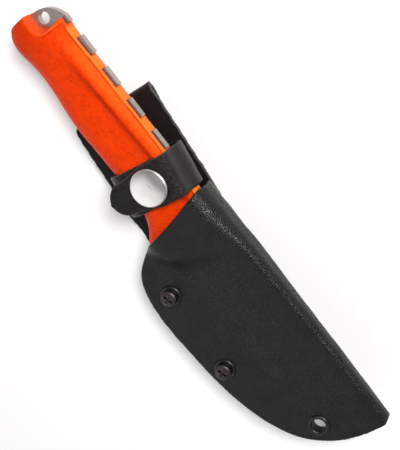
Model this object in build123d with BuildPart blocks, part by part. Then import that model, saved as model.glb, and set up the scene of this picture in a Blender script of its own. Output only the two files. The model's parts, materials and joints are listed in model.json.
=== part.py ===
from build123d import *
import os
from math import cos, degrees, radians, sin

# Fixed-blade knife in a folded plastic sheath, with a leather belt hanger and a snap strap.
#
# Frame: the assembly lies on the back of its belt loop. The origin is the middle of that rest
# face, +Z is up, +X runs from the handle's butt to the sheath's tip, and +Y is the spine side.
# Stations are distances along X from the butt. Heights are from the knife's middle plane.

# ---------------------------------------------------------------- driving dimensions (mm)
BUTT_X = -79.4               # butt of the handle, from the rest face's middle
KNIFE_Y = 8.5                # the knife's datum line, from the rest face's middle

LEATHER = 2.0                # belt hanger leather
STRAP_LEATHER = 1.8          # retention strap leather
BELT_GAP = 4.5               # room for a belt inside the loop
GRIP_HALF = 8.9              # half thickness of the handle
STRAP_GAP = 0.4              # handle to strap
HANGER_GAP = 0.2             # strap to hanger
STRAP_IN = GRIP_HALF + STRAP_GAP
STRAP_OUT = STRAP_IN + STRAP_LEATHER
HANGER_TOP = STRAP_OUT + HANGER_GAP
MID_Z = HANGER_TOP + 2 * LEATHER + BELT_GAP   # height of the knife's middle plane

STEEL = 3.15                 # blade and tang plate
GRIP_LENGTH = 111.0
BLADE_TIP = 199.0            # station of the point
CORE_HALF = 3.4              # half width of the smooth spine strip
CORE_START = 1.8             # the skin closes over the core's end at the butt
LANYARD = (4.8, 1.9)         # centre of the lanyard hole
LANYARD_R = 2.5
BOSS_R = 4.1                 # bare steel round the lanyard hole
WINDOW_START = 19.0
WINDOW_PITCH = 15.4
WINDOW_LENGTH = 8.9
WINDOW_COUNT = 4

SHEET = 2.05                 # sheath sheet
FLANGE_HALF = 2.1            # half thickness where the two halves meet
MOUTH_HALF = 10.9            # half thickness at the mouth
BODY_HALF = 3.8              # half thickness over the blade
SHEATH_TIP = 215.0
UPPER_EYELET = (123.6, -29.9)
LOWER_EYELET = (161.7, -30.9)
TIP_EYELET = (202.3, -11.8)
EYELET_BORE_R = 2.95
EYELET_TUBE_R = 3.4
EYELET_FLANGE_R = 4.75
EYELET_FLANGE = 0.7
SPACER = 1.8                 # rubber between sheath and hanger
SCREW_HEAD_R = 3.5
SCREW_HEAD = 3.1
SCREW_SIDE = 2.1             # height of the head's upright side
SHANK_R = 1.9
POST_R = 2.85
POST_FLANGE_R = 4.5
POST_FLANGE = 1.2

HANGER_AT = (76.4, -8.3)     # a point on the hanger's centre line
HANGER_CANT = -4.9           # the hanger leans towards the edge side
LOOP_TOP = -29.8             # along the hanger from that point
LOOP_END = 34.0
FRONT_HALF = 20.3            # half width of the front layer
RETURN_HALF = 17.0           # half width of the return layer

SNAP_AT = (81.75, 0.39)
STRAP_CANT = 8.7
STRAP_HALF = 9.25            # half width of the strap
SPINE_BEND = 2.2             # centre of the strap's bend round the spine
EDGE_BEND = -8.7             # centre of the strap's bend round the belly
BEND_R = STRAP_IN + STRAP_LEATHER / 2
HINGE_ANGLE = 20.0           # where the flap starts to bend, up the spine bend
FLAP_MID = 14.3              # height of the flap's middle over the snap
CAP_R = 7.75
RIVET_R = 1.5


def plan(height=0.0):
    """Plane parallel to the floor, with stations along X, at a height from the middle plane."""
    return Plane(origin=(BUTT_X, KNIFE_Y, MID_Z + height), x_dir=(1, 0, 0), z_dir=(0, 0, 1))


def section(station):
    """Upright plane across the knife, with Y to the right and height up."""
    return Plane(origin=(BUTT_X + station, KNIFE_Y, MID_Z), x_dir=(0, 1, 0), z_dir=(1, 0, 0))


def lean(angle):
    """Unit vector along X turned by an angle about +Z."""
    return Vector(cos(radians(angle)), sin(radians(angle)), 0)


def place(point, height=0.0):
    """Row position of a station point."""
    return Vector(BUTT_X + point[0], KNIFE_Y + point[1], MID_Z + height)


def upright(point):
    """Plane through a station point for revolved parts: radius to the right, height up."""
    return Plane(origin=place(point), x_dir=(1, 0, 0), z_dir=(0, -1, 0))


def blend(x, x0, x1, y0, y1):
    """Smooth step from y0 at x0 to y1 at x1."""
    t = min(1.0, max(0.0, (x - x0) / (x1 - x0)))
    return y0 + (y1 - y0) * t * t * (3 - 2 * t)


def save(piece, name):
    """Label a finished piece and write it."""
    piece.part.label = name
    export_step(piece.part, f"parts/{name}.step")


hanger_dir = lean(HANGER_CANT)
hanger_side = Plane(origin=place(HANGER_AT), x_dir=hanger_dir, z_dir=hanger_dir.rotate(Axis.Z, -90))
hanger_plan = Plane(origin=place(HANGER_AT), x_dir=hanger_dir, z_dir=(0, 0, 1))
strap_along = lean(90 - STRAP_CANT)
strap_side = Plane(origin=place(SNAP_AT), x_dir=strap_along, z_dir=strap_along.rotate(Axis.Z, -90))
strap_plan = Plane(origin=place(SNAP_AT), x_dir=strap_along, z_dir=(0, 0, 1))

os.makedirs("parts", exist_ok=True)

# ---------------------------------------------------------------- handle
# Each row is a station with the spine crest, the belly crest and the half thickness there.
GRIP_STATIONS = [
    (0.0, 3.5, -12.8, 7.0),
    (1.0, 5.6, -13.8, 8.0),
    (4.0, 8.0, -15.6, 8.7),
    (15.0, 8.7, -15.2, GRIP_HALF),
    (30.0, 9.0, -15.0, GRIP_HALF),
    (46.0, 9.2, -16.5, GRIP_HALF),
    (57.0, 9.4, -16.2, GRIP_HALF),
    (72.0, 9.6, -15.5, GRIP_HALF),
    (90.0, 9.7, -16.4, 8.6),
    (97.0, 9.7, -20.0, 7.5),
    (101.0, 9.7, -23.4, 6.2),
    (105.0, 9.7, -25.0, 5.4),
    (108.5, 9.6, -23.6, 4.9),
    (GRIP_LENGTH, 9.4, -20.0, 4.6),
]
# Distance down from the spine crest, and half thickness as a share of the full one.
SPINE_SIDE = [(0.0, 0.0), (1.0, 0.42), (3.6, 0.75), (7.4, 0.94), (11.5, 0.965)]
BELLY_SIDE = [(8.0, 0.92), (2.3, 0.58), (0.0, 0.0)]
FULL_DEPTH = 24.0


def grip_outline(crest, belly, half):
    """Closed ring of points round the handle at one station."""
    squeeze = min(1.0, (crest - belly) / FULL_DEPTH)
    upper = [(crest - down * squeeze, share * half) for down, share in SPINE_SIDE]
    upper += [(belly + up * squeeze, share * half) for up, share in BELLY_SIDE]
    lower = [(y, -z) for y, z in reversed(upper[1:-1])]
    return upper + lower


with BuildPart() as grip_body:
    for station, crest, belly, half in GRIP_STATIONS:
        with BuildSketch(section(station)):
            with BuildLine():
                Spline(grip_outline(crest, belly, half), periodic=True)
            make_face()
    loft()

SCOOP_DEPTH = 12.0
# Side, then the scoop's round where it leaves the handle, and the smooth rim's round.
SCOOPS = [(1, (6.6, 2.2), 4.6, (5.9, 2.0), 5.1), (-1, (6.4, 1.4), 6.6, (5.6, 1.5), 7.0)]

# Open corner region round the lanyard hole, bounded by two walls and a round.
with BuildPart() as recess:
    with BuildSketch(plan(-STEEL / 2)):
        with Locations((LANYARD[0], LANYARD[1] - BOSS_R)):
            Rectangle(20, 30, align=(Align.MAX, Align.MIN))
        with Locations(LANYARD):
            Rectangle(BOSS_R, 30, align=(Align.MIN, Align.MIN))
            Circle(BOSS_R)
    extrude(amount=STEEL)
    for side, top, top_r, rim, rim_r in SCOOPS:
        for height, middle, radius in ((STEEL / 2, LANYARD, BOSS_R), (SCOOP_DEPTH, top, top_r)):
            with BuildSketch(plan(side * height)):
                with BuildLine():
                    Polyline((middle[0] + radius, middle[1]), (middle[0] + radius, 30), (-15, 30),
                             (-15, middle[1] - radius), (middle[0], middle[1] - radius))
                    CenterArc(middle, radius, -90, 90)
                make_face()
        loft(ruled=True)

with BuildPart() as core_zone:
    with BuildSketch(plan(-CORE_HALF)):
        with Locations((CORE_START, 2.5)):
            Rectangle(GRIP_LENGTH + 8, 24, align=(Align.MIN, Align.CENTER))
    extrude(amount=2 * CORE_HALF)
    for side, top, top_r, rim, rim_r in SCOOPS:
        with BuildSketch(plan()):
            with Locations(rim):
                Circle(rim_r)
            with Locations((rim[0] + rim_r, rim[1])):
                Rectangle(20, 20, align=(Align.MAX, Align.MIN))
            with Locations((rim[0], rim[1] - rim_r)):
                Rectangle(20, 20, align=(Align.MAX, Align.MIN))
        extrude(amount=side * SCOOP_DEPTH)

# ---------------------------------------------------------------- blade and full tang
TANG_EDGE = 7.4              # tang's spine edge inside the core
TANG_LOW = -6.5
TANG_FRONT = GRIP_LENGTH - 1.0
TOOTH_TOP = 9.9              # steel that stands through the spine windows
CREST = 9.1                  # spine crest at the middle of the handle

with BuildPart() as plate:
    with BuildSketch(plan(-STEEL / 2)):
        with BuildLine():
            Line((0.6, TANG_LOW + 3.0), (0.6, -0.6))
            ThreePointArc((0.6, -0.6), (2.3, 5.1), (6.8, 8.9))
            Polyline((6.8, 8.9), (9.2, 9.9), (12.2, 10.0), (12.2, TANG_EDGE), (TANG_FRONT, TANG_EDGE),
                     (TANG_FRONT + 2.5, 8.6))
            Spline((TANG_FRONT + 2.5, 8.6), (155, 9.4), (182, 6.6), (BLADE_TIP, 1.0),
                   tangents=[(1, 0.03), (1, -0.42)])
            Spline((BLADE_TIP, 1.0), (190, -7.2), (176, -14.8), (158, -18.4), (118, -18.6),
                   tangents=[(-0.5, -1), (-1, 0)])
            ThreePointArc((118, -18.6), (114.2, -16.6), (113.2, -12.6))
            Polyline((113.2, -12.6), (TANG_FRONT - 2, -12.6), (96, TANG_LOW), (3.4, TANG_LOW),
                     (0.6, TANG_LOW + 3.0))
        make_face()
        for index in range(WINDOW_COUNT):
            with Locations((WINDOW_START + index * WINDOW_PITCH, TANG_EDGE - 1)):
                Rectangle(WINDOW_LENGTH - 0.4, TOOTH_TOP - TANG_EDGE + 1, align=(Align.MIN, Align.MIN))
        with Locations(LANYARD):
            Circle(LANYARD_R, mode=Mode.SUBTRACT)
    extrude(amount=STEEL)

GRIND_TOP = 1.5              # where the flat grind starts, down from the spine side
EDGE_HALF = 0.2

with BuildPart() as grind:
    for side in (1, -1):
        with BuildSketch(section(116)):
            with BuildLine():
                Polyline((GRIND_TOP, side * STEEL / 2), (-20, side * EDGE_HALF), (-24, side * EDGE_HALF),
                         (-24, side * 4), (GRIND_TOP, side * 4), close=True)
            make_face()
        extrude(amount=BLADE_TIP + 2 - 116)

with BuildPart() as blade:
    add(plate.part)
    add(grind.part, mode=Mode.SUBTRACT)
save(blade, "blade")

# The notch round each steel tooth, and the pocket for the whole plate with its lanyard hole.
with BuildPart() as tang_pocket:
    add(plate.part)
    with BuildSketch(plan(-STEEL / 2)):
        with Locations(LANYARD):
            Circle(LANYARD_R)
    extrude(amount=STEEL)
    for index in range(WINDOW_COUNT):
        with BuildSketch(plan(-STEEL / 2 - 0.9)):
            with Locations((WINDOW_START + index * WINDOW_PITCH - 0.25, CREST - 1.6)):
                Rectangle(WINDOW_LENGTH + 0.3, 6, align=(Align.MIN, Align.MIN))
        extrude(amount=STEEL + 1.8)
    with BuildSketch(plan(-STEEL / 2 - 0.9)):
        with Locations((12.5, CREST - 1.9)):
            Rectangle(12, 6, align=(Align.MAX, Align.MIN))
    extrude(amount=STEEL + 1.8)

with BuildPart() as handle_core:
    add(grip_body.part)
    add(core_zone.part, mode=Mode.INTERSECT)
    add(recess.part, mode=Mode.SUBTRACT)
    add(tang_pocket.part, mode=Mode.SUBTRACT)
save(handle_core, "handle_core")

with BuildPart() as grip_skin:
    add(grip_body.part)
    add(core_zone.part, mode=Mode.SUBTRACT)
    add(recess.part, mode=Mode.SUBTRACT)
    add(tang_pocket.part, mode=Mode.SUBTRACT)
save(grip_skin, "grip_skin")

# ---------------------------------------------------------------- sheath shell
# Each row is a station with the height where the flat flange ends and the cavity begins.
CAVITY_FOOT = [(86, -32), (101, -30), (107, -29.2), (111, -28.4), (113, -27.6), (115, -26.4), (117, -25.0),
               (119, -23.8), (121, -23), (125, -22.5), (145, -22.3), (165, -22), (175, -19.5), (185, -15),
               (196, -7.6), (200, -4.4), (206, 0), (220, 3)]
OUTLINE_PAST = -50.0         # the sections run past the sheath's edge and are trimmed to it
SLIT = 0.2                   # the two halves' flanges stay this far apart
FRONT_END = 4.6              # the front's half thickness towards the tip


def sheath_half(station, side):
    """Half thickness of the folded sheet: the front tapers slowly, and the back clears the hanger."""
    if side > 0:
        share = 1 - blend(station, 91, SHEATH_TIP, 0, 1)
        return FRONT_END + (MOUTH_HALF - FRONT_END) * share ** 2.2 - blend(station, 196, 214, 0, 1.4)
    return blend(station, 107, 118, MOUTH_HALF, BODY_HALF) - blend(station, 199, 214, 0, 0.6)


def sheath_crest(station):
    """Outer crest of the fold."""
    return blend(station, 93, 103, 13.9, 14.6) + blend(station, 101, 128, 0, 1.3)


def fold_corner(station, side):
    """Radius of the outer corner between a face and the fold's upright side."""
    half = sheath_half(station, side)
    round_front = blend(station, 92, 130, 8.2, 3.6) - blend(station, 130, SHEATH_TIP, 0, 0.9)
    return min(half - 0.4, round_front) if side > 0 else half - 0.2


def sheath_shoulder(station, foot, side):
    """Where the slope from the flange reaches the full thickness."""
    run = blend(station, 105, 125, 16, 34) if side > 0 else blend(station, 111, 118, 9.0, 5.0)
    return min(foot + run, sheath_crest(station) - fold_corner(station, side) - 0.5)


def cavity_slope(station, foot, side):
    """Points from the flange to the full room inside, closer to the blade than the outside."""
    shoulder = (sheath_shoulder(station, foot, side), side * (sheath_half(station, side) - SHEET))
    near_edge = (foot + 4, blend(station, 105, 125, 2.2, 0.95) + blend(station, 178, 190, 0, 0.5))
    return [(foot, 0), near_edge, shoulder] if side > 0 else [(foot, 0), shoulder]


with BuildPart() as sheath_outer:
    for side in (1, -1):
        for station, foot in CAVITY_FOOT:
            crest = sheath_crest(station)
            half = sheath_half(station, side)
            turn = fold_corner(station, side)
            shoulder = sheath_shoulder(station, foot, side)
            with BuildSketch(section(station)):
                with BuildLine():
                    Polyline((crest, 0), (OUTLINE_PAST, 0), (OUTLINE_PAST, side * FLANGE_HALF),
                             (foot - 1, side * FLANGE_HALF))
                    Spline((foot - 1, side * FLANGE_HALF), (shoulder, side * half),
                           tangents=[(1, 0), (1, 0)])
                    Line((shoulder, side * half), (crest - turn, side * half))
                    CenterArc((crest - turn, side * (half - turn)), turn, side * 90, -side * 90)
                    Line((crest, side * (half - turn)), (crest, 0))
                make_face()
        loft(ruled=True)

with BuildPart() as sheath_cavity:
    for side in (1, -1):
        for station, foot in CAVITY_FOOT:
            room = sheath_half(station, side) - SHEET
            inner = sheath_crest(station) - SHEET
            turn = fold_corner(station, side) - SHEET
            shoulder = sheath_shoulder(station, foot, side)
            with BuildSketch(section(station)):
                with BuildLine():
                    Line((inner, 0), (foot, 0))
                    Spline(*cavity_slope(station, foot, side), tangents=[(1, side * 0.3), (1, 0)])
                    Line((shoulder, side * room), (inner - turn, side * room))
                    CenterArc((inner - turn, side * (room - turn)), turn, side * 90, -side * 90)
                    Line((inner, side * (room - turn)), (inner, 0))
                make_face()
        loft(ruled=True)

with BuildPart() as sheath_shell:
    add(sheath_outer.part)
    with BuildSketch(plan(-30)):
        with BuildLine():
            ThreePointArc((94.0, 12.4), (98.4, -6), (100.8, -20.6))
            Spline((100.8, -20.6), (102.2, -24.4), (104.4, -28.9), (109.5, -35.2), (118, -39.1), (128, -40.5),
                   (141, -40.1), (163.6, -38.0), (183.4, -33.4), (194.8, -28.4), (201.6, -24.1),
                   (208.4, -16.2), (213.4, -5.3), (SHEATH_TIP, 8))
            Polyline((SHEATH_TIP, 8), (SHEATH_TIP, 13.2), (SHEATH_TIP - 1.8, 16), (SHEATH_TIP - 1.8, 24),
                     (97.4, 24), (97.4, 15.6), (95.0, 14.6), (94.0, 12.4))
        make_face()
    extrude(amount=60, mode=Mode.INTERSECT)
    add(sheath_cavity.part, mode=Mode.SUBTRACT)
    with BuildSketch(plan(-SLIT / 2)):
        with BuildLine():
            Polyline(*[(station, foot + 0.6) for station, foot in CAVITY_FOOT])
            Polyline((220, 3.6), (230, 3.6), (230, OUTLINE_PAST), (86, OUTLINE_PAST),
                     (CAVITY_FOOT[0][0], CAVITY_FOOT[0][1] + 0.6))
        make_face()
    extrude(amount=SLIT, mode=Mode.SUBTRACT)
    with BuildSketch(plan(-5)):
        with Locations(UPPER_EYELET, LOWER_EYELET, TIP_EYELET):
            Circle(EYELET_TUBE_R)
    extrude(amount=10, mode=Mode.SUBTRACT)
save(sheath_shell, "sheath_shell")

# ---------------------------------------------------------------- eyelets, screws, posts, spacers
LIP = FLANGE_HALF + EYELET_FLANGE
EYELET_LIP_OUT = EYELET_FLANGE_R - EYELET_FLANGE
EYELET_LIP_IN = EYELET_BORE_R + EYELET_FLANGE
LEATHER_TOP = -LIP - SPACER
LEATHER_LOW = LEATHER_TOP - LEATHER
CROSS_LENGTH = 4.2           # cross recess in the screw heads
CROSS_WIDTH = 1.0
CROSS_DEPTH = 1.9


def turned(point):
    """Axis of a turned part through a station point."""
    return Axis(origin=place(point), direction=(0, 0, 1))


for name, point in (("upper", UPPER_EYELET), ("lower", LOWER_EYELET), ("tip", TIP_EYELET)):
    with BuildPart() as eyelet:
        with BuildSketch(upright(point)):
            with BuildLine():
                for side in (1, -1):
                    Line((EYELET_TUBE_R, 0), (EYELET_TUBE_R, side * FLANGE_HALF))
                    Line((EYELET_TUBE_R, side * FLANGE_HALF), (EYELET_FLANGE_R, side * FLANGE_HALF))
                    CenterArc((EYELET_LIP_OUT, side * FLANGE_HALF), EYELET_FLANGE, 0, side * 90)
                    Line((EYELET_LIP_OUT, side * LIP), (EYELET_LIP_IN, side * LIP))
                    CenterArc((EYELET_LIP_IN, side * FLANGE_HALF), EYELET_FLANGE, side * 90, side * 90)
                    Line((EYELET_BORE_R, side * FLANGE_HALF), (EYELET_BORE_R, 0))
            make_face()
        revolve(axis=turned(point))
    save(eyelet, f"eyelet_{name}")

for name, point in (("upper", UPPER_EYELET), ("lower", LOWER_EYELET)):
    with BuildPart() as screw:
        with BuildSketch(upright(point)):
            with BuildLine():
                Polyline((0, LIP + SCREW_HEAD), (0, LEATHER_TOP), (SHANK_R, LEATHER_TOP), (SHANK_R, LIP),
                         (SCREW_HEAD_R, LIP), (SCREW_HEAD_R, LIP + SCREW_SIDE))
                Spline((SCREW_HEAD_R, LIP + SCREW_SIDE), (2.6, LIP + SCREW_HEAD - 0.28),
                       (0, LIP + SCREW_HEAD), tangents=[(-0.15, 1), (-1, 0)])
            make_face()
        revolve(axis=turned(point))
        with BuildSketch(plan(LIP + SCREW_HEAD - CROSS_DEPTH)):
            with Locations(point):
                Rectangle(CROSS_LENGTH, CROSS_WIDTH, rotation=17)
                Rectangle(CROSS_WIDTH, CROSS_LENGTH, rotation=17)
        extrude(amount=2 * CROSS_DEPTH, mode=Mode.SUBTRACT)
    save(screw, f"screw_{name}")

    with BuildPart() as post:
        with BuildSketch(upright(point)):
            with BuildLine():
                Polyline((0, LEATHER_LOW - POST_FLANGE), (POST_FLANGE_R - 0.5, LEATHER_LOW - POST_FLANGE),
                         (POST_FLANGE_R, LEATHER_LOW - POST_FLANGE + 0.5), (POST_FLANGE_R, LEATHER_LOW),
                         (POST_R, LEATHER_LOW), (POST_R, LIP - 0.1), (SHANK_R + 0.05, LIP - 0.1),
                         (SHANK_R + 0.05, LEATHER_TOP - 0.3), (0, LEATHER_TOP - 0.3), close=True)
            make_face()
        revolve(axis=turned(point))
        with BuildSketch(plan(LEATHER_LOW - POST_FLANGE)):
            with Locations(point):
                Rectangle(1.2, 7, rotation=-35)
        extrude(amount=0.6, mode=Mode.SUBTRACT)
    save(post, f"post_{name}")

    with BuildPart() as spacer:
        with BuildSketch(plan(LEATHER_TOP)):
            with Locations(point):
                Circle(POST_FLANGE_R + 0.1)
                Circle(POST_R + 0.15, mode=Mode.SUBTRACT)
        extrude(amount=SPACER)
    save(spacer, f"spacer_{name}")

# ---------------------------------------------------------------- belt hanger
FRONT_MID = -HANGER_TOP - LEATHER / 2
RETURN_MID = FRONT_MID - LEATHER - BELT_GAP
SEAM_MID = RETURN_MID + LEATHER
TAIL_MID = LEATHER_TOP - LEATHER / 2
FOLD_R = (FRONT_MID - RETURN_MID) / 2
FOLD_AT = LOOP_TOP + LEATHER / 2 + FOLD_R     # centre of the fold along the hanger
FOLD_MID = (FRONT_MID + RETURN_MID) / 2
SEAM_AT = 22.0                                # the two layers are sewn together from here
STITCH_ROWS = (25.5, 31.0)
STITCH_COUNT = 9
STITCH_PITCH = 3.5
GROOVE = 0.55                                 # depth of the stitching grooves
LOWER_POST = hanger_plan.to_local_coords(place(LOWER_EYELET))

with BuildPart() as front_layer:
    with BuildSketch(hanger_side):
        with BuildLine():
            CenterArc((FOLD_AT, FOLD_MID), FOLD_R, 90, 90)
            FilletPolyline((FOLD_AT, FRONT_MID), (12, FRONT_MID), (SEAM_AT, SEAM_MID),
                           (LOOP_END + 2.0, SEAM_MID), (42.2, TAIL_MID), (100, TAIL_MID), radius=3)
        trace(line_width=LEATHER)
    extrude(amount=30, both=True)
    with BuildSketch(hanger_plan.offset(-30)):
        with BuildLine():
            Polyline((60, -26), (43, -25.6), (LOOP_END, -22.6), (SEAM_AT, -22), (6, -20.4),
                     (-20, -FRONT_HALF), (-34, -FRONT_HALF), (-34, 19.0), (-20, FRONT_HALF), (12, FRONT_HALF),
                     (SEAM_AT, 18), (LOOP_END, 17.4), (39, 12), (60, -3), (86, -6.5))
            ThreePointArc((86, -6.5), (LOWER_POST.X + 8.7, LOWER_POST.Y), (86, -24))
            Line((86, -24), (60, -26))
        make_face()
    extrude(amount=40, mode=Mode.INTERSECT)
    with BuildSketch(hanger_plan.offset(SEAM_MID + LEATHER / 2 - GROOVE)):
        for row in STITCH_ROWS:
            with Locations((row, 0)):
                Rectangle(0.8, STITCH_COUNT * STITCH_PITCH + 1)
    extrude(amount=2, mode=Mode.SUBTRACT)
    with BuildSketch(plan(LEATHER_LOW - 2)):
        with Locations(UPPER_EYELET, LOWER_EYELET):
            Circle(POST_R + 0.05)
    extrude(amount=10, mode=Mode.SUBTRACT)

with BuildPart() as return_layer:
    with BuildSketch(hanger_side):
        with BuildLine():
            CenterArc((FOLD_AT, FOLD_MID), FOLD_R, 180, 90)
            Line((FOLD_AT, RETURN_MID), (LOOP_END, RETURN_MID))
        trace(line_width=LEATHER)
    extrude(amount=30, both=True)
    with BuildSketch(hanger_plan.offset(-30)):
        with BuildLine():
            FilletPolyline((-34, -FRONT_HALF), (-18, -RETURN_HALF), (LOOP_END, -RETURN_HALF),
                           (LOOP_END, RETURN_HALF), (-18, RETURN_HALF), (-34, 19.0), radius=3)
            Line((-34, 19.0), (-34, -FRONT_HALF))
        make_face()
    extrude(amount=40, mode=Mode.INTERSECT)
    with BuildSketch(hanger_plan.offset(RETURN_MID - LEATHER / 2)):
        for row in STITCH_ROWS:
            with Locations((row, 0)):
                Rectangle(0.8, STITCH_COUNT * STITCH_PITCH + 1)
    extrude(amount=GROOVE, mode=Mode.SUBTRACT)

# Strap rivets sit flush in the strap and in the hanger's front layer.
RIVETS = [(-5.0, 4.2), (-5.0, -4.2)]
RIVET_HEAD_R = 3.0
RIVET_HEAD = 0.6

with BuildPart() as rivet_pockets:
    with BuildSketch(strap_plan.offset(-HANGER_TOP - LEATHER)):
        with Locations(RIVETS):
            Circle(RIVET_HEAD_R)
    extrude(amount=RIVET_HEAD)
    with BuildSketch(strap_plan.offset(-HANGER_TOP - LEATHER)):
        with Locations(RIVETS):
            Circle(RIVET_R)
    extrude(amount=LEATHER + HANGER_GAP + STRAP_LEATHER)
    with BuildSketch(strap_plan.offset(-STRAP_IN - RIVET_HEAD)):
        with Locations(RIVETS):
            Circle(RIVET_HEAD_R)
    extrude(amount=RIVET_HEAD)

with BuildPart() as belt_hanger:
    add(front_layer.part)
    add(return_layer.part)
    add(rivet_pockets.part, mode=Mode.SUBTRACT)
save(belt_hanger, "belt_hanger")

with BuildPart() as loop_stitching:
    for height in (SEAM_MID + LEATHER / 2 - GROOVE, RETURN_MID - LEATHER / 2 + 0.05):
        with BuildSketch(hanger_plan.offset(height)):
            for row in STITCH_ROWS:
                with Locations((row, 0)):
                    with GridLocations(0, STITCH_PITCH, 1, STITCH_COUNT):
                        SlotOverall(2.9, 0.7, rotation=90)
        extrude(amount=GROOVE - 0.05)
save(loop_stitching, "loop_stitching")

# ---------------------------------------------------------------- retention strap
HINGE = (SPINE_BEND + BEND_R * cos(radians(HINGE_ANGLE)), BEND_R * sin(radians(HINGE_ANGLE)))
HINGE_CLEAR = STRAP_LEATHER / 2 + 0.4
CLEAR_ANGLE = degrees(HINGE_CLEAR / BEND_R)
LEAF_END = 5.4
FLAP_FLAT = 5.8              # the flap is flat from here to its end
TONGUE_HALF = 6.8
TONGUE_END = -18.6
POST_BASE_R = 4.6
POST_BASE = 0.5
STUD_SHANK_R = 1.5
CAP_SHANK_R = 1.9

with BuildPart() as strap_back:
    with BuildSketch(strap_side):
        with BuildLine():
            CenterArc((SPINE_BEND, 0), BEND_R, -90, 90 + HINGE_ANGLE - CLEAR_ANGLE)
            Line((SPINE_BEND, -BEND_R), (EDGE_BEND, -BEND_R))
        trace(line_width=STRAP_LEATHER)
    extrude(amount=STRAP_HALF, both=True)
    add(rivet_pockets.part, mode=Mode.SUBTRACT)
save(strap_back, "strap_back")

with BuildPart() as strap_rivets:
    with BuildSketch(strap_plan.offset(-STRAP_IN - RIVET_HEAD)):
        with Locations(RIVETS):
            Circle(RIVET_HEAD_R)
    extrude(amount=RIVET_HEAD)
    with BuildSketch(strap_plan.offset(-HANGER_TOP - LEATHER + RIVET_HEAD)):
        with Locations(RIVETS):
            Circle(RIVET_R)
    extrude(amount=HANGER_TOP + LEATHER - RIVET_HEAD - STRAP_IN - RIVET_HEAD)
save(strap_rivets, "strap_rivets")

with BuildPart() as rivet_caps:
    with BuildSketch(strap_plan.offset(-HANGER_TOP - LEATHER)):
        with Locations(RIVETS):
            Circle(RIVET_HEAD_R)
    extrude(amount=RIVET_HEAD)
save(rivet_caps, "rivet_caps")

with BuildPart() as strap_stud_leaf:
    with BuildSketch(strap_side):
        with BuildLine():
            CenterArc((EDGE_BEND, 0), BEND_R, 90, 180)
            Line((EDGE_BEND, BEND_R), (LEAF_END, BEND_R))
        trace(line_width=STRAP_LEATHER)
    extrude(amount=STRAP_HALF, both=True)
    with BuildSketch(strap_plan.offset(STRAP_IN)):
        Circle(POST_BASE_R)
    extrude(amount=POST_BASE, mode=Mode.SUBTRACT)
    with BuildSketch(strap_plan.offset(STRAP_IN)):
        Circle(STUD_SHANK_R)
    extrude(amount=STRAP_LEATHER, mode=Mode.SUBTRACT)
save(strap_stud_leaf, "strap_stud_leaf")

with BuildPart() as strap_snap_flap:
    with BuildSketch(strap_side):
        with BuildLine():
            Spline(HINGE, (FLAP_FLAT, FLAP_MID),
                   tangents=[(-sin(radians(HINGE_ANGLE)), cos(radians(HINGE_ANGLE))), (-1, 0)])
            Line((FLAP_FLAT, FLAP_MID), (TONGUE_END - 4, FLAP_MID))
        trace(line_width=STRAP_LEATHER)
        with Locations(HINGE):
            Circle(STRAP_LEATHER / 2)
    extrude(amount=STRAP_HALF, both=True)
    with BuildSketch(strap_plan.offset(-5)):
        with BuildLine():
            Line((20, -STRAP_HALF), (20, STRAP_HALF))
            for side in (1, -1):
                Line((20, side * STRAP_HALF), (2, side * STRAP_HALF))
                Spline((2, side * STRAP_HALF), (-6.5, side * 7.4), (-12, side * TONGUE_HALF), (TONGUE_END, 0),
                       tangents=[(-1, 0), (0, -side)])
        make_face()
    extrude(amount=30, mode=Mode.INTERSECT)
    with BuildSketch(strap_plan.offset(FLAP_MID - STRAP_LEATHER)):
        Circle(CAP_SHANK_R)
    extrude(amount=2 * STRAP_LEATHER, mode=Mode.SUBTRACT)
save(strap_snap_flap, "strap_snap_flap")

# ---------------------------------------------------------------- press stud
LEAF_TOP = STRAP_OUT
FLAP_LOW = FLAP_MID - STRAP_LEATHER / 2
FLAP_TOP = FLAP_MID + STRAP_LEATHER / 2
STUD_FLANGE = 0.5
KNOB_R = 2.9
KNOB_TOP = LEAF_TOP + 1.3
SOCKET_R = 6.1
SOCKET_ROOM_R = 3.5
SOCKET_LOW = LEAF_TOP + STUD_FLANGE + 0.3
SOCKET_ROOF = SOCKET_LOW + 1.2
CAP_HEIGHT = 2.6

with BuildPart() as snap_cap:
    with BuildSketch(upright(SNAP_AT)):
        with BuildLine():
            Polyline((0, SOCKET_ROOF), (CAP_SHANK_R, SOCKET_ROOF), (CAP_SHANK_R, FLAP_TOP),
                     (CAP_R - 0.5, FLAP_TOP))
            ThreePointArc((CAP_R - 0.5, FLAP_TOP), (CAP_R, FLAP_TOP + 0.8), (CAP_R - 0.4, FLAP_TOP + 1.6))
            Spline((CAP_R - 0.4, FLAP_TOP + 1.6), (CAP_R * 0.7, FLAP_TOP + 2.25), (0, FLAP_TOP + CAP_HEIGHT),
                   tangents=[(-1, 0.8), (-1, 0)])
            Line((0, FLAP_TOP + CAP_HEIGHT), (0, SOCKET_ROOF))
        make_face()
    revolve(axis=turned(SNAP_AT))
save(snap_cap, "snap_cap")

with BuildPart() as snap_socket:
    with BuildSketch(upright(SNAP_AT)):
        with BuildLine():
            Polyline((CAP_SHANK_R, FLAP_LOW), (CAP_SHANK_R, SOCKET_ROOF), (SOCKET_ROOM_R, SOCKET_ROOF),
                     (SOCKET_ROOM_R, SOCKET_LOW), (SOCKET_R - 0.4, SOCKET_LOW), (SOCKET_R, SOCKET_LOW + 0.4),
                     (SOCKET_R, FLAP_LOW), close=True)
        make_face()
    revolve(axis=turned(SNAP_AT))
save(snap_socket, "snap_socket")

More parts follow.
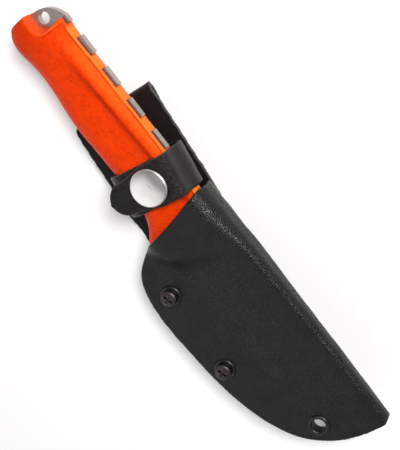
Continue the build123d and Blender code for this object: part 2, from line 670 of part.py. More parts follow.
with BuildPart() as snap_stud:
    with BuildSketch(upright(SNAP_AT)):
        with BuildLine():
            Polyline((STUD_SHANK_R, LEAF_TOP), (POST_BASE_R, LEAF_TOP), (POST_BASE_R, LEAF_TOP + STUD_FLANGE),
                     (KNOB_R - 0.2, LEAF_TOP + STUD_FLANGE), (KNOB_R, KNOB_TOP - 0.4),
                     (KNOB_R - 0.4, KNOB_TOP), (STUD_SHANK_R, KNOB_TOP), close=True)
        make_face()
    revolve(axis=turned(SNAP_AT))
save(snap_stud, "snap_stud")

with BuildPart() as snap_post:
    with BuildSketch(upright(SNAP_AT)):
        with BuildLine():
            Polyline((0, STRAP_IN), (POST_BASE_R, STRAP_IN), (POST_BASE_R, STRAP_IN + POST_BASE),
                     (STUD_SHANK_R, STRAP_IN + POST_BASE), (STUD_SHANK_R, KNOB_TOP - 0.1),
                     (0, KNOB_TOP - 0.1), close=True)
        make_face()
    revolve(axis=turned(SNAP_AT))
save(snap_post, "snap_post")
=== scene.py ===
import json
import math

import bmesh
import bpy
import numpy as np
from mathutils import Matrix, Vector, noise


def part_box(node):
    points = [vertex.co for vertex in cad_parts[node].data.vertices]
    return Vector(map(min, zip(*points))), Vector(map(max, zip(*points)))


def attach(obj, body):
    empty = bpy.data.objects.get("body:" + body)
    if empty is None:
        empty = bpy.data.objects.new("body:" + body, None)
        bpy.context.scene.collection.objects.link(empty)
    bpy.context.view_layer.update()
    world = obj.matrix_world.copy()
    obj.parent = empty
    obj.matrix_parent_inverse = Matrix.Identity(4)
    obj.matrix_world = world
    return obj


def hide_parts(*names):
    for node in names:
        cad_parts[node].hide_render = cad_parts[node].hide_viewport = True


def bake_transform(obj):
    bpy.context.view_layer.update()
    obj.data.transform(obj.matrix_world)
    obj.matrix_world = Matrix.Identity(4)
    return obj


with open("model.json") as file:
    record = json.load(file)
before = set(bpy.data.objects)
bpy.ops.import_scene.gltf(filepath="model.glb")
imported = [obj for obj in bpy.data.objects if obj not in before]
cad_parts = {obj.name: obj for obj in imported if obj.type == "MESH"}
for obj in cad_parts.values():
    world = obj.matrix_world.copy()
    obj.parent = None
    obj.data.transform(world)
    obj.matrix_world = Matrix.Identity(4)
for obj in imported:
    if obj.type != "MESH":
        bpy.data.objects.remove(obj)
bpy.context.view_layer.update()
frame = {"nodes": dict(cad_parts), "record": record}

nodes = frame["nodes"]
scene = bpy.context.scene
MM = 0.001
CORE_HALF = 3.4              # half width of the smooth strip along the handle's spine, in millimetres

# ------------------------------------------------------------------ row frame, in millimetres
BUTT_X = -79.4               # the knife's butt, from the rest face's middle
KNIFE_Y = 8.5                # the knife's middle line
MID_Z = 19.8                 # height of the knife's middle plane


def spot(station, y, height):
    """Row point, in metres, of a station, an offset to the spine side and a height."""
    return Vector((BUTT_X + station, KNIFE_Y + y, MID_Z + height)) * MM


# ------------------------------------------------------------------ camera, light and floor
CAMERA_TILT = math.radians(28)               # from straight overhead, towards the spine side
CAMERA_SIDE = Vector((-0.193, 0.98, 0))
CAMERA_DISTANCE = 0.44
LENS = 88
KNIFE_SHOWN = math.atan2(-0.793, 0.609)      # the knife points down to the right in the picture
AIM_STATION = 106.4          # the camera looks at this station, and the lights at the next
LIT_STATION = 106


def stand_camera():
    sideways = CAMERA_SIDE.normalized()
    back = sideways * math.sin(CAMERA_TILT) + Vector((0, 0, 1)) * math.cos(CAMERA_TILT)
    flat = Vector((0, 0, 1)).cross(back).normalized()
    rise = back.cross(flat)
    knife = Vector((1, 0, 0))
    shown = math.atan2(knife.dot(rise), knife.dot(flat))
    roll = KNIFE_SHOWN - shown
    right = flat * math.cos(roll) - rise * math.sin(roll)
    up = flat * math.sin(roll) + rise * math.cos(roll)
    data = bpy.data.cameras.new("camera")
    data.lens = LENS
    data.clip_start = 0.01
    camera = bpy.data.objects.new("camera", data)
    place = spot(AIM_STATION, 0, 0) + back * CAMERA_DISTANCE
    camera.matrix_world = Matrix.Translation(place) @ Matrix((right, up, back)).transposed().to_4x4()
    scene.collection.objects.link(camera)
    scene.camera = camera


def area_light(name, place, aim, size, watts, colour=(1, 1, 1), shadow=True):
    data = bpy.data.lights.new(name, "AREA")
    data.energy = watts
    data.color = colour
    data.size = size
    data.use_shadow = shadow
    light = bpy.data.objects.new(name, data)
    light.location = place
    light.rotation_euler = (Vector(aim) - Vector(place)).to_track_quat("-Z", "Y").to_euler()
    scene.collection.objects.link(light)


def studio_world():
    """White round the horizon and dark overhead, between the two lights."""
    world = bpy.data.worlds.new("studio")
    world.use_nodes = True
    tree = world.node_tree
    background = tree.nodes["Background"]
    background.inputs["Color"].default_value = (1, 1, 1, 1)
    place = tree.nodes.new("ShaderNodeTexCoord")
    split = tree.nodes.new("ShaderNodeSeparateXYZ")
    fade = tree.nodes.new("ShaderNodeMapRange")
    for socket, number in zip(("From Min", "From Max", "To Min", "To Max"), (0.45, 0.88, 0.42, 0.02)):
        fade.inputs[socket].default_value = number
    tree.links.new(place.outputs["Generated"], split.inputs["Vector"])
    tree.links.new(split.outputs["Z"], fade.inputs["Value"])
    tree.links.new(fade.outputs["Result"], background.inputs["Strength"])
    return world


def set_the_stage():
    middle = spot(LIT_STATION, 0, 0)
    area_light("key", (-0.06, 0.47, 0.72), middle, 0.24, 8.0, (1, 0.99, 0.97))
    area_light("tent", (0.10, -0.52, 0.62), middle, 0.80, 1.8, shadow=False)
    scene.world = studio_world()
    mesh = bpy.data.meshes.new("floor")
    mesh.from_pydata([(-3, -3, 0), (3, -3, 0), (3, 3, 0), (-3, 3, 0)], [], [(0, 1, 2, 3)])
    floor = bpy.data.objects.new("floor", mesh)
    scene.collection.objects.link(floor)
    paper = bpy.data.materials.new("floor_paper")
    paper.use_nodes = True
    shader = paper.node_tree.nodes["Principled BSDF"]
    shader.inputs["Base Color"].default_value = (0.93, 0.93, 0.93, 1)
    shader.inputs["Roughness"].default_value = 0.9
    shader.inputs["Specular IOR Level"].default_value = 0.1
    mesh.materials.append(paper)


stand_camera()
set_the_stage()
scene.view_settings.view_transform = "Standard"


# ------------------------------------------------------------------ materials
class Finish:
    """A material under construction: a Principled shader with procedural patterns in millimetres."""

    def __init__(self, name, roughness=0.5, metallic=0.0, specular=0.5, **sockets):
        self.material = bpy.data.materials.new(name)
        self.material.use_nodes = True
        self.tree = self.material.node_tree
        self.shader = self.tree.nodes["Principled BSDF"]
        self.set("Roughness", roughness)
        self.set("Metallic", metallic)
        self.set("Specular IOR Level", specular)
        for key, value in sockets.items():
            self.set(key.replace("_", " "), value)
        coordinates = self.tree.nodes.new("ShaderNodeTexCoord")
        scaled = self.tree.nodes.new("ShaderNodeMapping")
        scaled.inputs["Scale"].default_value = (1000, 1000, 1000)
        self.link(coordinates.outputs["Object"], scaled.inputs["Vector"])
        self.place = scaled.outputs["Vector"]
        self.normal = None

    def set(self, socket, value):
        self.shader.inputs[socket].default_value = value

    def link(self, a, b):
        self.tree.links.new(a, b)

    def stretched(self, scale):
        """Coordinates that make a pattern run longer along an axis with a small factor."""
        node = self.tree.nodes.new("ShaderNodeMapping")
        node.inputs["Scale"].default_value = scale
        self.link(self.place, node.inputs["Vector"])
        return node.outputs["Vector"]

    def warped(self, size, reach):
        """Coordinates shaken by noise, for cells with uneven sides."""
        node = self.tree.nodes.new("ShaderNodeTexNoise")
        node.inputs["Scale"].default_value = 1 / size
        self.link(self.place, node.inputs["Vector"])
        shake = self.tree.nodes.new("ShaderNodeVectorMath")
        shake.operation = "MULTIPLY_ADD"
        shake.inputs[1].default_value = (2 * reach, 2 * reach, 2 * reach)
        self.link(node.outputs["Color"], shake.inputs[0])
        self.link(self.place, shake.inputs[2])
        return shake.outputs["Vector"]

    def along_row(self):
        """Millimetres along the knife from the rest face's middle."""
        node = self.tree.nodes.new("ShaderNodeSeparateXYZ")
        self.link(self.place, node.inputs["Vector"])
        return node.outputs["X"]

    def noise(self, size, detail=3.0, rough=0.55, distortion=0.0, place=None):
        """Noise with lumps about size millimetres across."""
        node = self.tree.nodes.new("ShaderNodeTexNoise")
        node.inputs["Scale"].default_value = 1 / size
        node.inputs["Detail"].default_value = detail
        node.inputs["Roughness"].default_value = rough
        node.inputs["Distortion"].default_value = distortion
        self.link(place or self.place, node.inputs["Vector"])
        return node.outputs["Fac"]

    def cells(self, size, feature="F1", place=None, smooth=None):
        """Voronoi cells about size millimetres across."""
        node = self.tree.nodes.new("ShaderNodeTexVoronoi")
        node.feature = feature
        node.inputs["Scale"].default_value = 1 / size
        if smooth is not None:
            node.inputs["Smoothness"].default_value = smooth
        self.link(place or self.place, node.inputs["Vector"])
        return node.outputs["Distance"]

    def attribute(self, name):
        node = self.tree.nodes.new("ShaderNodeAttribute")
        node.attribute_name = name
        return node.outputs["Fac"]

    def remap(self, value, low, high, to_low=0.0, to_high=1.0):
        node = self.tree.nodes.new("ShaderNodeMapRange")
        node.interpolation_type = "SMOOTHSTEP"
        for socket, number in zip(("From Min", "From Max", "To Min", "To Max"), (low, high, to_low, to_high)):
            node.inputs[socket].default_value = number
        self.link(value, node.inputs["Value"])
        return node.outputs["Result"]

    def math(self, kind, a, b):
        node = self.tree.nodes.new("ShaderNodeMath")
        node.operation = kind
        for socket, value in zip(node.inputs, (a, b)):
            if isinstance(value, (int, float)):
                socket.default_value = value
            else:
                self.link(value, socket)
        return node.outputs[0]

    def mix(self, factor, a, b):
        node = self.tree.nodes.new("ShaderNodeMix")
        node.data_type = "RGBA"
        self.link(factor, node.inputs["Factor"])
        for socket, value in (("A", a), ("B", b)):
            socket = [s for s in node.inputs if s.name == socket and s.type == "RGBA"][0]
            if isinstance(value, tuple):
                socket.default_value = (*value, 1)
            else:
                self.link(value, socket)
        return [s for s in node.outputs if s.type == "RGBA"][0]

    def colour(self, value):
        self.link(value, self.shader.inputs["Base Color"])

    def rough(self, value, low, high, to_low, to_high):
        self.link(self.remap(value, low, high, to_low, to_high), self.shader.inputs["Roughness"])

    def bump(self, height, depth):
        """Adds relief: height 0 to 1 stands for depth in millimetres."""
        node = self.tree.nodes.new("ShaderNodeBump")
        node.inputs["Strength"].default_value = 1
        node.inputs["Distance"].default_value = depth * MM
        self.link(height, node.inputs["Height"])
        if self.normal is not None:
            self.link(self.normal, node.inputs["Normal"])
        self.normal = node.outputs["Normal"]
        self.link(self.normal, self.shader.inputs["Normal"])


def skin_orange():
    f = Finish("skin_orange", 0.48, specular=0.16, Specular_Tint=(1, 0.35, 0.12, 1))
    patches = f.noise(14.0, 3)
    ground = f.mix(f.remap(patches, 0.35, 0.7), (0.70, 0.036, 0.0015), (0.74, 0.043, 0.002))
    # painted highlight: the ridge above the crease, on the side towards the key light, is painted a lighter
    # orange
    ground = f.mix(f.attribute("wear_and_highlight"), ground, (0.90, 0.112, 0.009))
    # painted shade: the crease's lower side and the belly side near the butt are painted a darker orange
    ground = f.mix(f.attribute("painted_shade"), ground, (0.47, 0.020, 0.001))
    warped = f.warped(0.9, 0.40)
    cracks = f.remap(f.cells(1.30, "DISTANCE_TO_EDGE", place=warped), 0.0, 0.13, 1.0, 0.0)
    broken = f.math("MULTIPLY", cracks, f.remap(f.noise(2.6, 3), 0.36, 0.66))
    ground = f.mix(f.math("MULTIPLY", broken, 0.20), ground, (0.42, 0.018, 0.001))
    f.colour(f.mix(f.attribute("seam"), ground, (0.30, 0.013, 0.001)))
    f.rough(f.noise(0.7, 3), 0.3, 0.7, 0.38, 0.52)
    f.bump(f.noise(2.0, 3, 0.5, 0.3), 0.26)
    f.bump(broken, -0.13)
    f.bump(f.remap(f.cells(0.9, "SMOOTH_F1", smooth=0.5), 0.0, 0.7), 0.15)
    return f.material


def core_orange():
    f = Finish("core_orange", 0.42, specular=0.14, Specular_Tint=(1, 0.45, 0.2, 1))
    strip = f.mix(f.remap(f.noise(5.0), 0.35, 0.65), (0.93, 0.165, 0.018), (0.98, 0.195, 0.026))
    scoop = f.remap(f.along_row(), BUTT_X + 12.5, BUTT_X + 14.5, 1.0, 0.0)
    f.colour(f.mix(scoop, strip, (0.86, 0.078, 0.005)))
    f.rough(f.noise(0.5), 0.3, 0.7, 0.36, 0.50)
    f.bump(f.noise(0.35, 4), 0.02)
    return f.material


def brushed_steel():
    f = Finish("brushed_steel", 0.35, metallic=1.0)
    lines = f.noise(0.12, 4, 0.6, place=f.stretched((0.02, 1, 1)))
    f.colour(f.mix(f.remap(lines, 0.3, 0.7), (0.34, 0.32, 0.305), (0.46, 0.43, 0.41)))
    f.rough(lines, 0.3, 0.7, 0.30, 0.46)
    f.bump(lines, 0.012)
    f.bump(f.noise(2.5, 3), 0.02)
    return f.material


def nickel():
    f = Finish("nickel", 0.30, metallic=1.0)
    fine = f.noise(0.3, 4)
    f.colour(f.mix(f.remap(f.noise(3.0), 0.35, 0.65), (0.84, 0.81, 0.785), (0.87, 0.845, 0.825)))
    f.rough(fine, 0.3, 0.7, 0.27, 0.33)
    f.bump(fine, 0.0012)
    return f.material


def sheath_sheet():
    f = Finish("sheath_sheet", 0.46, specular=0.25)
    lumps = f.remap(f.cells(0.55, "SMOOTH_F1", smooth=0.6), 0.0, 0.75)
    f.colour(f.mix(f.remap(f.noise(7.0, 4), 0.3, 0.7), (0.0070, 0.0070, 0.0075), (0.0105, 0.0105, 0.011)))
    f.rough(lumps, 0.2, 0.9, 0.56, 0.27)
    f.bump(lumps, 0.13)
    f.bump(f.noise(0.22, 3), 0.04)
    f.bump(f.noise(6.0, 2), 0.05)
    return f.material


def leather(name, dark, light, cut, cell, depth, roughness, specular):
    f = Finish(name, roughness, specular=specular)
    grain = f.remap(f.cells(cell, "SMOOTH_F1", smooth=0.4, place=f.stretched((1, 1.2, 1))), 0.0, 0.8)
    hide = f.mix(f.remap(f.noise(5.0, 4), 0.3, 0.7), dark, light)
    # cut edges get the lighter cut colour: partly the raw edge's own tone, partly a painted highlight along
    # the edge
    edge_fibre_and_highlight = f.math("MULTIPLY", f.attribute("edge"), f.remap(f.noise(0.35, 4), 0.35, 0.65, 0.45, 1.0))
    f.colour(f.mix(edge_fibre_and_highlight, hide, cut))
    f.rough(grain, 0.2, 0.9, roughness - 0.06, roughness + 0.12)
    f.bump(grain, depth)
    f.bump(f.noise(0.25, 3), depth * 0.4)
    f.bump(f.noise(4.0, 3), 0.12)
    return f.material


def gunmetal(name, dark, light, roughness):
    f = Finish(name, roughness, metallic=1.0)
    f.colour(f.mix(f.remap(f.noise(0.8, 4), 0.35, 0.7), dark, light))
    f.rough(f.noise(0.25, 4), 0.3, 0.7, roughness - 0.08, roughness + 0.1)
    f.bump(f.noise(0.3, 3), 0.01)
    return f.material


def rubber():
    f = Finish("spacer_rubber", 0.8, specular=0.3)
    f.colour(f.mix(f.noise(1.5), (0.012, 0.012, 0.012), (0.02, 0.02, 0.02)))
    f.rough(f.noise(0.3), 0.3, 0.7, 0.7, 0.9)
    f.bump(f.noise(0.2, 3), 0.03)
    return f.material


def waxed_thread():
    f = Finish("thread", 0.6, specular=0.4, Sheen_Weight=0.3)
    f.colour(f.mix(f.noise(0.4), (0.012, 0.011, 0.011), (0.03, 0.028, 0.027)))
    f.bump(f.noise(0.12, 2, place=f.stretched((1, 0.3, 1))), 0.06)
    f.rough(f.noise(0.3), 0.3, 0.7, 0.5, 0.7)
    return f.material


finishes = {
    "skin_orange": skin_orange(),
    "core_orange": core_orange(),
    "steel": brushed_steel(),
    "nickel": nickel(),
    "sheath_sheet": sheath_sheet(),
    # the hanger's light cut colour is partly a painted highlight along its edges
    "hanger_leather": leather("hanger_leather", (0.0030, 0.0022, 0.0022), (0.0055, 0.0042, 0.0040),
                              (0.085, 0.080, 0.077), 0.7, 0.06, 0.50, 0.22),
    "strap_leather": leather("strap_leather", (0.0030, 0.0023, 0.0020), (0.0055, 0.0043, 0.0036),
                             (0.040, 0.036, 0.033), 0.50, 0.17, 0.27, 0.25),
    "black_eyelet": gunmetal("black_eyelet", (0.035, 0.034, 0.036), (0.075, 0.074, 0.078), 0.36),
    "black_screw": gunmetal("black_screw", (0.060, 0.052, 0.052), (0.105, 0.092, 0.092), 0.42),
    "rivet_metal": gunmetal("rivet_metal", (0.03, 0.03, 0.03), (0.06, 0.06, 0.06), 0.4),
    "spacer_rubber": rubber(),
    "thread": waxed_thread(),
}

slot_of = {entry["node"]: entry["material_slot"] for entry in frame["record"]["subparts"]}
for name, node in nodes.items():
    node.data.materials.clear()
    node.data.materials.append(finishes[slot_of[name]])


# ------------------------------------------------------------------ mesh helpers
def smooth_step(x, x0, x1):
    """Rises smoothly from 0 at x0 to 1 at x1."""
    t = np.clip((x - x0) / (x1 - x0), 0, 1)
    return t * t * (3 - 2 * t)


def add_piece(name, mesh, body, slot, replaced=()):
    """Puts a finished mesh in the scene as a piece, riding on a body when one is given."""
    piece = bpy.data.objects.new(name, mesh)
    scene.collection.objects.link(piece)
    mesh.materials.clear()
    mesh.materials.append(finishes[slot])
    mesh.polygons.foreach_set("use_smooth", [True] * len(mesh.polygons))
    if body:
        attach(piece, body)
    if replaced:
        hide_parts(*replaced)
    return piece


def settled(piece):
    """The piece's mesh with its modifiers applied."""
    graph = bpy.context.evaluated_depsgraph_get()
    mesh = bpy.data.meshes.new_from_object(piece.evaluated_get(graph))
    bpy.data.objects.remove(piece)
    return mesh


def coordinates(mesh):
    co = np.zeros(len(mesh.vertices) * 3)
    mesh.vertices.foreach_get("co", co)
    return co.reshape(-1, 3)


def normals(mesh):
    no = np.zeros(len(mesh.vertices) * 3)
    mesh.vertex_normals.foreach_get("vector", no)
    return no.reshape(-1, 3)


def local(co):
    """Stations, offsets and heights, in millimetres, of row points in metres."""
    return co / MM - np.array((BUTT_X, KNIFE_Y, MID_Z))


def lumps(points, size, seed):
    """Smooth noise of about plus or minus one at points in millimetres, with lumps of a size."""
    shift = Vector((seed * 17.3, seed * 5.1, -seed * 9.7))
    return np.array([noise.noise(Vector(p) / size + shift) for p in points]) * 1.6


def refined(node, voxel, rounds):
    """A fine even mesh of a CAD node's shape, with its sharp edges eased."""
    mesh = nodes[node].data.copy()
    work = bmesh.new()
    work.from_mesh(mesh)
    bmesh.ops.remove_doubles(work, verts=work.verts, dist=1e-7)
    work.to_mesh(mesh)
    work.free()
    piece = bpy.data.objects.new(node + "_work", mesh)
    scene.collection.objects.link(piece)
    remesh = piece.modifiers.new("remesh", "REMESH")
    remesh.mode = "VOXEL"
    remesh.voxel_size = voxel * MM
    ease = piece.modifiers.new("ease", "SMOOTH")
    ease.iterations = rounds
    ease.factor = 0.5
    return settled(piece)


def shift_vertices(mesh, offset):
    """Moves every vertex by its row of offset, in millimetres."""
    mesh.vertices.foreach_set("co", (coordinates(mesh) + offset * MM).ravel())
    mesh.update()


def paint(mesh, name, values):
    """Stores a value for each vertex, which a material reads by its name."""
    layer = mesh.attributes.new(name, "FLOAT", "POINT")
    layer.data.foreach_set("value", np.asarray(values, np.float32))


# ------------------------------------------------------------------ handle skin
CREASE_STATION = 24          # where the crease's height above the knife's middle line is given
CREASE_Y = 3.4
CREASE_SLOPE = 0.048
CREASE_DEPTH = 1.75          # the palm swell steps down by this much below the crease
RIDGE_RISE = 0.30            # the raised line just above the crease
SCOOP_END = 13               # the scoop round the lanyard boss ends at this station


def crease_relief(below, station):
    """Depth of the palm's long dish, from the distance below the crease."""
    length = smooth_step(station, 14, 46) * (1 - 0.3 * smooth_step(station, 84, 100))
    step = CREASE_DEPTH * smooth_step(below, 0.0, 2.9) * (1 - smooth_step(below, 4.0, 18.0))
    step -= RIDGE_RISE * smooth_step(below, -4.5, -0.6) * (1 - smooth_step(below, -0.4, 1.2))
    return length * step


def paint_skin(mesh, at, below):
    """Marks the skin's painted highlight on the ridge above the crease, its painted shade in the crease and
    on the belly side towards the butt, and where it meets the core's strip.
    """
    station, y, height = at.T
    seam = (1 - smooth_step(np.abs(height) - CORE_HALF, 0.45, 1.0)) * (y > 3) * (station > SCOOP_END)
    # painted highlight along the ridge above the crease
    ridge = smooth_step(-below, -0.3, 2.6) * smooth_step(np.abs(height), 1.0, 4.0)
    ridge *= smooth_step(station, 10, 26)
    # painted shade along the crease's lower side
    shade = 0.75 * smooth_step(below, -0.2, 1.3) * (1 - smooth_step(below, 1.7, 5.0))
    shade *= smooth_step(station, 16, 34)
    # painted shade on the belly side towards the butt
    butt_shade = 0.55 * smooth_step(-station, -22, -4) * smooth_step(-y, -1.0, 6.0)
    # painted highlight, read by the skin's finish
    paint(mesh, "wear_and_highlight", 0.75 * ridge)
    # painted shade, read by the skin's finish
    paint(mesh, "painted_shade", np.maximum(shade, butt_shade))
    paint(mesh, "seam", seam)


def handle_skin():
    """The handle's textured skin, with a crease along the palm on both sides."""
    mesh = refined("grip_skin", 0.42, 2)
    at = local(coordinates(mesh))
    out = normals(mesh)
    station, y, height = at.T
    below = CREASE_Y + CREASE_SLOPE * (station - CREASE_STATION) - y
    facing = smooth_step(np.abs(out[:, 2]), 0.25, 0.75)
    move = np.zeros_like(at)
    move[:, 2] = -np.sign(height) * crease_relief(below, station) * facing
    wobble = 0.10 * lumps(at, 7.0, 1) + 0.035 * lumps(at, 1.6, 2)
    move += out * (wobble * smooth_step(station, 1, 5))[:, None]
    shift_vertices(mesh, move)
    paint_skin(mesh, at, below)
    add_piece("handle_skin", mesh, "knife", "skin_orange", ["grip_skin"])


# ------------------------------------------------------------------ sheath
def folded_sheath():
    """The sheath's sheet, with a fine seam where its two flanges meet at the rim."""
    mesh = refined("sheath_shell", 0.50, 3)
    at = local(coordinates(mesh))
    out = normals(mesh)
    y, height = at[:, 1], at[:, 2]
    rim = (np.abs(out[:, 2]) < 0.5) & (y < 7) & (np.abs(height) < 0.35)
    seam = np.where(rim, -0.45, 0.0)
    wave = 0.12 * lumps(at, 16.0, 3) + 0.05 * lumps(at, 5.0, 4)
    shift_vertices(mesh, out * (seam + wave)[:, None])
    add_piece("folded_sheath", mesh, "sheath", "sheath_sheet", ["sheath_shell"])


# ------------------------------------------------------------------ belt hanger
def leather_hanger():
    """The belt hanger, with frayed cut edges, kept clear of the floor that it rests on."""
    mesh = refined("belt_hanger", 0.5, 3)
    at = local(coordinates(mesh))
    out = normals(mesh)
    edge = 1 - smooth_step(np.abs(out[:, 2]), 0.35, 0.8)
    edge *= smooth_step(np.abs(out[:, 1]), 0.3, 0.7)
    wave = 0.10 * lumps(at, 14.0, 5) + 0.04 * lumps(at, 3.0, 6)
    fray = 0.10 * edge * lumps(at, 1.1, 7)
    move = out * (wave + fray)[:, None]
    move[:, 2] = np.maximum(move[:, 2], -coordinates(mesh)[:, 2] / MM)
    shift_vertices(mesh, move)
    # this edge mask carries the lighter cut colour: the raw edge's tone and a painted highlight
    paint(mesh, "edge", edge)
    add_piece("leather_hanger", mesh, "sheath", "hanger_leather", ["belt_hanger"])


# ------------------------------------------------------------------ strap
STRAP_AT = (81.75, 0.39)     # the snap's middle
STRAP_TURN = math.radians(81.3)
STRAP_HALF = 9.25
STRAP_THICK = 1.8
STRAP_CROWN = 0.12           # how far the outer face bulges
PATH_STEP = 0.45
BEND_R = 10.2                # the strap's middle layer as it turns round the handle
SPINE_BEND = 2.2             # where along the strap the bend on the spine side is centred
EDGE_BEND = -8.7
LEAF_END = 5.4
HINGE_ANGLE = 20             # degrees up the spine bend, where the flap opens
FLAP_MID = 14.3              # height of the flap's middle layer
FLAP_FLAT = 7.4
FLAP_PULL = 20.0             # how fully the flap bulges between its hinge and its flat part
TONGUE_START = -12
TONGUE_REACH = 6.6
TONGUE_HALF = 6.8
TONGUE_STEPS = 24
along = np.array((math.cos(STRAP_TURN), math.sin(STRAP_TURN), 0))
across = np.array((math.sin(STRAP_TURN), -math.cos(STRAP_TURN), 0))


def strap_point(p, v, h):
    """Row point, in metres, of a place along the strap, across it and up."""
    return np.array(spot(*STRAP_AT, h)) + (along * p + across * v) * MM


def arc(centre, start, end):
    """Path round a bend of the strap, between two angles in degrees."""
    count = max(2, int(abs(math.radians(end - start)) * BEND_R / PATH_STEP))
    turns = [math.radians(start + (end - start) * i / count) for i in range(count + 1)]
    return [(centre + BEND_R * math.cos(t), BEND_R * math.sin(t)) for t in turns]


def straight(a, b):
    count = max(1, int(math.dist(a, b) / PATH_STEP))
    return [(a[0] + (b[0] - a[0]) * i / count, a[1] + (b[1] - a[1]) * i / count) for i in range(count + 1)]


def swing(a, direction_a, b, direction_b, pull, count=28):
    """Points of a curve that leaves a and reaches b along the given directions."""
    leaving = (direction_a[0] * pull, direction_a[1] * pull)
    reaching = (direction_b[0] * pull, direction_b[1] * pull)
    terms = (a, leaving, b, reaching)
    points = []
    for i in range(count + 1):
        t = i / count
        weights = (2 * t**3 - 3 * t * t + 1, t**3 - 2 * t * t + t, 3 * t * t - 2 * t**3, t**3 - t * t)
        points.append(tuple(sum(w * term[k] for w, term in zip(weights, terms)) for k in (0, 1)))
    return points


def ring(half):
    """Closed outline of the strap's section: offsets across it and from its middle."""
    corner = min(0.6, half * 0.45)
    thick = STRAP_THICK / 2
    flat = np.linspace(-(half - corner), half - corner, 37)
    top = [(v, thick + STRAP_CROWN * (1 - (v / half) ** 2)) for v in flat]
    under = [(v, -thick) for v in flat[::-1]]
    bend = [math.radians(a) for a in (75, 50, 25, 0, -25, -50, -75)]
    right = [(half - corner + corner * math.cos(t), thick * math.sin(t)) for t in bend]
    left = [(-v, -n) for v, n in right]
    return top + right + under + left


def swept(path, widths):
    """Mesh of a strap swept along a path of (along, up) points with a half width at each."""
    bm = bmesh.new()
    rows = []
    count = len(path)
    for i, ((p, h), half) in enumerate(zip(path, widths)):
        before = path[max(0, i - 1)]
        after = path[min(count - 1, i + 1)]
        tangent = np.array((after[0] - before[0], after[1] - before[1]))
        tangent /= np.linalg.norm(tangent)
        outward = np.array((tangent[1], -tangent[0]))
        row = []
        for v, n in ring(half):
            row.append(bm.verts.new(strap_point(p + outward[0] * n, v, h + outward[1] * n)))
        rows.append(row)
    size = len(rows[0])
    for first, second in zip(rows, rows[1:]):
        for k in range(size):
            bm.faces.new((first[k], first[(k + 1) % size], second[(k + 1) % size], second[k]))
    bm.faces.new(rows[0][::-1])
    bm.faces.new(rows[-1])
    bmesh.ops.recalc_face_normals(bm, faces=bm.faces)
    mesh = bpy.data.meshes.new("swept")
    bm.to_mesh(mesh)
    bm.free()
    return mesh


def unique(path):
    """The path without points that coincide."""
    kept = [path[0]]
    for point in path[1:]:
        if math.dist(point, kept[-1]) > 0.02:
            kept.append(point)
    return kept


def wear_and_highlight(mesh, seed):
    """Gives leather its small unevenness and marks its cut edges, which the leather finish paints lighter,
    partly as the raw edge's tone and partly as a painted highlight.
    """
    at = local(coordinates(mesh))
    out = normals(mesh)
    sideways = np.abs(out @ across)
    edge = smooth_step(sideways, 0.35, 0.8)
    wave = 0.07 * lumps(at, 6.0, seed) + 0.03 * lumps(at, 1.5, seed + 1)
    fray = 0.06 * edge * lumps(at, 0.9, seed + 2)
    shift_vertices(mesh, out * (wave + fray)[:, None])
    paint(mesh, "edge", edge)
    return mesh


def strap_band():
    """The back of the strap and its flap, swept as one piece round the spine bend, over the flap and out to
    its rounded tongue.
    """
    turn = math.radians(HINGE_ANGLE)
    hinge = (SPINE_BEND + BEND_R * math.cos(turn), BEND_R * math.sin(turn))
    path = straight((EDGE_BEND, -BEND_R), (SPINE_BEND, -BEND_R)) + arc(SPINE_BEND, -90, HINGE_ANGLE)
    path += swing(hinge, (-math.sin(turn), math.cos(turn)), (FLAP_FLAT, FLAP_MID), (-1, 0), FLAP_PULL)
    path += straight((FLAP_FLAT, FLAP_MID), (TONGUE_START, FLAP_MID))
    path = unique(path)
    widths = []
    for p, h in path:
        taper = (STRAP_HALF - TONGUE_HALF) * float(smooth_step(2.5 - p, 0, 14.0))
        widths.append(STRAP_HALF - (taper if h > 12 else 0))
    for i in range(1, TONGUE_STEPS + 1):
        t = i / TONGUE_STEPS
        rounding = math.radians(t * 87)
        path.append((TONGUE_START - TONGUE_REACH * math.sin(rounding), FLAP_MID - 0.25 * t**2))
        widths.append(TONGUE_HALF * math.cos(rounding))
    mesh = wear_and_highlight(swept(path, widths), 11)
    piece = add_piece("strap_band", mesh, None, "strap_leather", ["strap_back", "strap_snap_flap"])
    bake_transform(piece)


def strap_leaf():
    """The strap's end with the stud, from under the handle round its belly."""
    path = unique(arc(EDGE_BEND, -90, -270) + straight((EDGE_BEND, BEND_R), (LEAF_END, BEND_R)))
    mesh = wear_and_highlight(swept(path, [STRAP_HALF] * len(path)), 21)
    add_piece("strap_leaf", mesh, "sheath", "strap_leather", ["strap_stud_leaf"])


# ------------------------------------------------------------------ stitching
THREAD_R = 0.33 * MM
THREAD_FLAT = 0.8            # height of the thread's section against its width
STITCH_STEPS = 12
STITCH_SIDES = 10
SEAM_MIDDLE = 5 * MM         # stitches above this height show on top, and the others below


def separate_solids(mesh):
    """Row points of each closed shell of a mesh."""
    work = bmesh.new()
    work.from_mesh(mesh)
    bmesh.ops.remove_doubles(work, verts=work.verts, dist=1e-7)
    seen = set()
    islands = []
    for start in work.verts:
        if start in seen:
            continue
        island = [start]
        seen.add(start)
        for vert in island:
            for edge in vert.link_edges:
                other = edge.other_vert(vert)
                if other not in seen:
                    seen.add(other)
                    island.append(other)
        islands.append(np.array([v.co[:] for v in island]))
    work.free()
    return islands


def thread_ring(bm, spine, sideways, t):
    """Section of a two-strand thread at t, which runs from -1 to 1 along the stitch."""
    corners = []
    for k in range(STITCH_SIDES):
        turn = 2 * math.pi * k / STITCH_SIDES
        strands = 1 + 0.16 * math.cos(2 * turn + 5.0 * t)
        reach = THREAD_R * strands * (0.75 if abs(t) == 1 else 1)
        rise = np.array((0, 0, math.sin(turn) * reach * THREAD_FLAT))
        corners.append(bm.verts.new(spine + sideways * math.cos(turn) * reach + rise))
    return corners


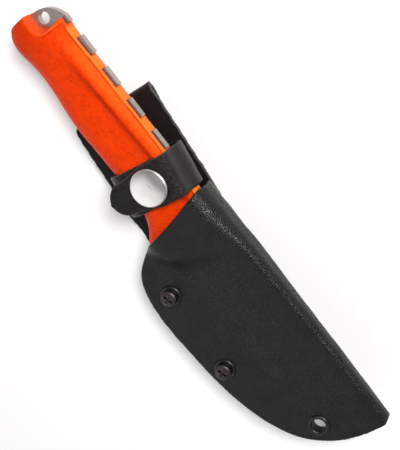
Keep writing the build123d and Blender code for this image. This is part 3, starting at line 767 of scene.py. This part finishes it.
def add_stitch(bm, low, high, direction, half):
    """One stitch that rises out of its first hole and dips into the next."""
    centre = (low + high) / 2
    upward = 1 if centre[2] > SEAM_MIDDLE else -1
    hole = low[2] if upward > 0 else high[2]
    lift = high[2] - low[2] - THREAD_R
    sideways = np.array((-direction[1], direction[0], 0))
    rows = []
    for i in range(STITCH_STEPS + 1):
        t = i / STITCH_STEPS * 2 - 1
        place = centre[:2] + direction * half * t
        spine = np.array((*place, hole + upward * lift * (1 - t * t) ** 0.6))
        rows.append(thread_ring(bm, spine, sideways, t))
    for first, second in zip(rows, rows[1:]):
        for k in range(STITCH_SIDES):
            j = (k + 1) % STITCH_SIDES
            bm.faces.new((first[k], first[j], second[j], second[k]))
    bm.faces.new(rows[0][::-1])
    bm.faces.new(rows[-1])


def arched_thread():
    """A twisted thread for each bar of the loop's stitching."""
    bm = bmesh.new()
    for points in separate_solids(nodes["loop_stitching"].data):
        low, high = points.min(0), points.max(0)
        flat = points[:, :2] - (low[:2] + high[:2]) / 2
        direction = np.linalg.svd(flat, full_matrices=False)[2][0]
        add_stitch(bm, low, high, direction, np.abs(flat @ direction).max() - THREAD_R)
    bmesh.ops.recalc_face_normals(bm, faces=bm.faces)
    mesh = bpy.data.meshes.new("arched_thread")
    bm.to_mesh(mesh)
    bm.free()
    add_piece("arched_thread", mesh, "sheath", "thread", ["loop_stitching"])


# ------------------------------------------------------------------ press stud
DOME_R = 27.0                # the cap's curve
DOME_RINGS = 40
ROLL_R = 0.75                # the rolled edge
RING_MARK_R = 2.1            # a faint ring pressed into the cap
SHANK_R = 1.9


def turned_part(name, middle, profile, body, slot, replaced, count=96):
    """Solid of revolution about an upright axis, from a profile of (radius, height) in millimetres."""
    bm = bmesh.new()
    rings = []
    for radius, height in profile:
        ring_verts = []
        for i in range(count if radius > 0 else 1):
            turn = 2 * math.pi * i / count
            offset = Vector((radius * math.cos(turn), radius * math.sin(turn), height)) * MM
            ring_verts.append(bm.verts.new(middle + offset))
        rings.append(ring_verts)
    for first, second in zip(rings, rings[1:]):
        for i in range(count):
            j = (i + 1) % count
            corners = [first[i % len(first)], first[j % len(first)]]
            corners += [second[j % len(second)], second[i % len(second)]]
            bm.faces.new(list(dict.fromkeys(corners)))
    bmesh.ops.recalc_face_normals(bm, faces=bm.faces)
    mesh = bpy.data.meshes.new(name)
    bm.to_mesh(mesh)
    bm.free()
    return add_piece(name, mesh, body, slot, replaced)


def snap_dome():
    """The press stud's cap: a shallow dome with a faint pressed ring and a rolled edge."""
    low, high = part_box("snap_cap")
    middle = Vector(((low[0] + high[0]) / 2, (low[1] + high[1]) / 2, 0))
    reach = (high[0] - low[0]) / 2 / MM
    top = high[2] / MM
    under = MID_Z + FLAP_MID + STRAP_THICK / 2
    flat = reach - ROLL_R
    profile = [(0, top)]
    for i in range(1, DOME_RINGS + 1):
        radius = flat * i / DOME_RINGS
        ring_mark = 0.035 * math.exp(-((radius - RING_MARK_R) / 0.22) ** 2)
        profile.append((radius, top - radius * radius / DOME_R / 2 - ring_mark))
    lip = profile[-1][1]
    for degrees in range(70, -91, -20):
        turn = math.radians(degrees)
        profile.append((flat + ROLL_R * math.cos(turn), lip - ROLL_R + ROLL_R * math.sin(turn)))
    profile += [(flat - 0.3, under), (SHANK_R, under), (SHANK_R, low[2] / MM), (0, low[2] / MM)]
    turned_part("snap_dome", middle, profile, "snap_flap", "nickel", ["snap_cap"])


handle_skin()
folded_sheath()
leather_hanger()
strap_band()
strap_leaf()
snap_dome()
arched_thread()
